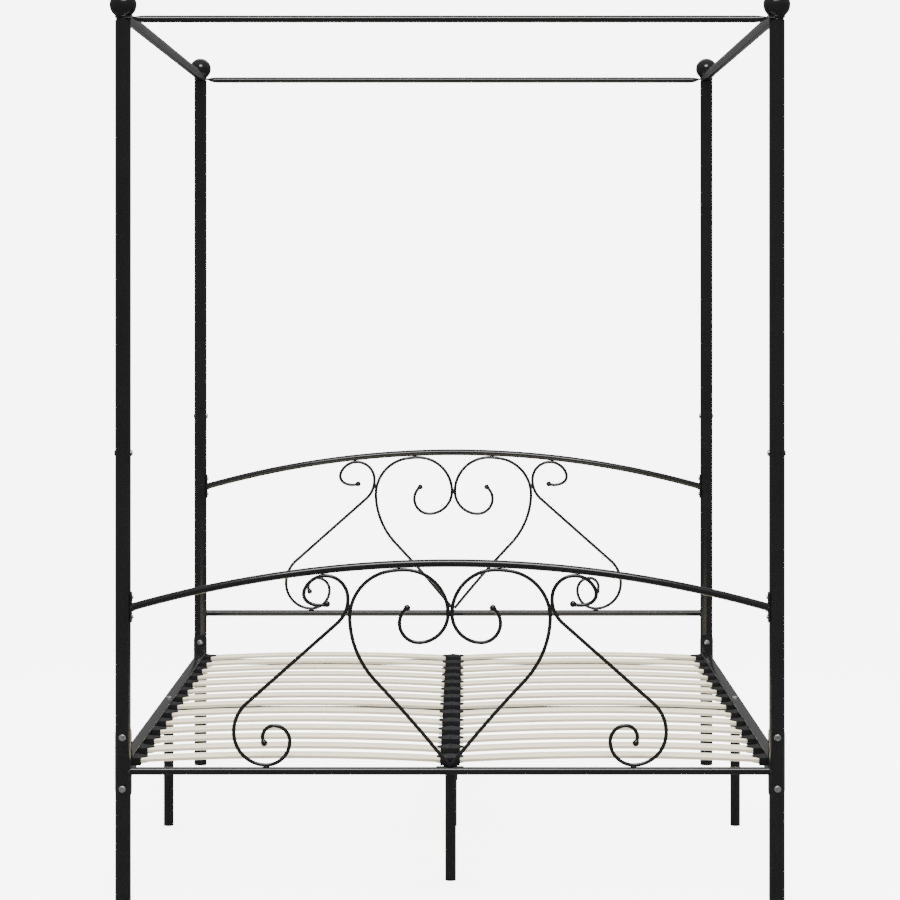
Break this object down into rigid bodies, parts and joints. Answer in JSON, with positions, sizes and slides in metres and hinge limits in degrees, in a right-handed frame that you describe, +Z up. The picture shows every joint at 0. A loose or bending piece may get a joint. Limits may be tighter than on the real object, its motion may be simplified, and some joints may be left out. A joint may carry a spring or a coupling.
{
  "type": "four poster canopy bed",
  "caption": "Black steel four poster canopy bed with arched, scrolled head and foot panels, ball finials and sprung wooden slats.",
  "frame": {"origin": "on the floor under the middle of the bed", "axes": "+Z up, +Y from the foot end to the head end, +X to the right when seen from the foot end"},
  "size_m": [1.5099, 2.1096, 2.0245],
  "materials": {
    "powder_coated_steel": "black powder coat, semi gloss",
    "zinc_steel": "bright zinc plate",
    "black_plastic": "moulded, fine satin",
    "slat_wood": "off-white laminated beech or birch, lacquered"
  },
  "bodies": {
    "root": {"arch_end_plates": "powder_coated_steel", "ball_finials": "powder_coated_steel", "bar_spigots": "powder_coated_steel", "beam_saddles": "powder_coated_steel", "canopy_rail_foot": "powder_coated_steel", "canopy_rail_head": "powder_coated_steel", "canopy_rail_left": "powder_coated_steel", "canopy_rail_right": "powder_coated_steel", "centre_beam_front": "powder_coated_steel", "centre_beam_rear": "powder_coated_steel", "centre_leg_front": "powder_coated_steel", "centre_leg_middle": "powder_coated_steel", "centre_leg_rear": "powder_coated_steel", "centre_slat_holders": "black_plastic", "corner_bolts": "zinc_steel", "corner_nuts": "zinc_steel", "finial_studs": "zinc_steel", "foot_caps": "black_plastic", "foot_heart_scroll_left": "powder_coated_steel", "foot_heart_scroll_right": "powder_coated_steel", "foot_panel_arch_tube": "powder_coated_steel", "foot_panel_lower_rail": "powder_coated_steel", "foot_post_lower_left": "powder_coated_steel", "foot_post_lower_right": "powder_coated_steel", "foot_post_upper_left": "powder_coated_steel", "foot_post_upper_right": "powder_coated_steel", "foot_side_scroll_left": "powder_coated_steel", "foot_side_scroll_right": "powder_coated_steel", "head_cross_bar": "powder_coated_steel", "head_heart_scroll_left": "powder_coated_steel", "head_heart_scroll_right": "powder_coated_steel", "head_panel_arch_tube": "powder_coated_steel", "head_panel_lower_rail": "powder_coated_steel", "head_post_lower_left": "powder_coated_steel", "head_post_lower_right": "powder_coated_steel", "head_post_upper_left": "powder_coated_steel", "head_post_upper_right": "powder_coated_steel", "head_side_scroll_left": "powder_coated_steel", "head_side_scroll_right": "powder_coated_steel", "leg_bolts": "zinc_steel", "mid_cross_bar": "powder_coated_steel", "panel_plate_screws": "zinc_steel", "post_couplers": "powder_coated_steel", "post_joint_bolts": "zinc_steel", "post_joint_nuts": "zinc_steel", "post_top_inserts": "zinc_steel", "side_leg_left": "powder_coated_steel", "side_leg_right": "powder_coated_steel", "side_rail_brackets": "powder_coated_steel", "side_rail_front_left": "powder_coated_steel", "side_rail_front_right": "powder_coated_steel", "side_rail_inserts": "powder_coated_steel", "side_rail_rear_left": "powder_coated_steel", "side_rail_rear_right": "powder_coated_steel", "side_slat_holders_left": "black_plastic", "side_slat_holders_right": "black_plastic", "slats_left": "slat_wood", "slats_right": "slat_wood"}
  },
  "joints": []
}
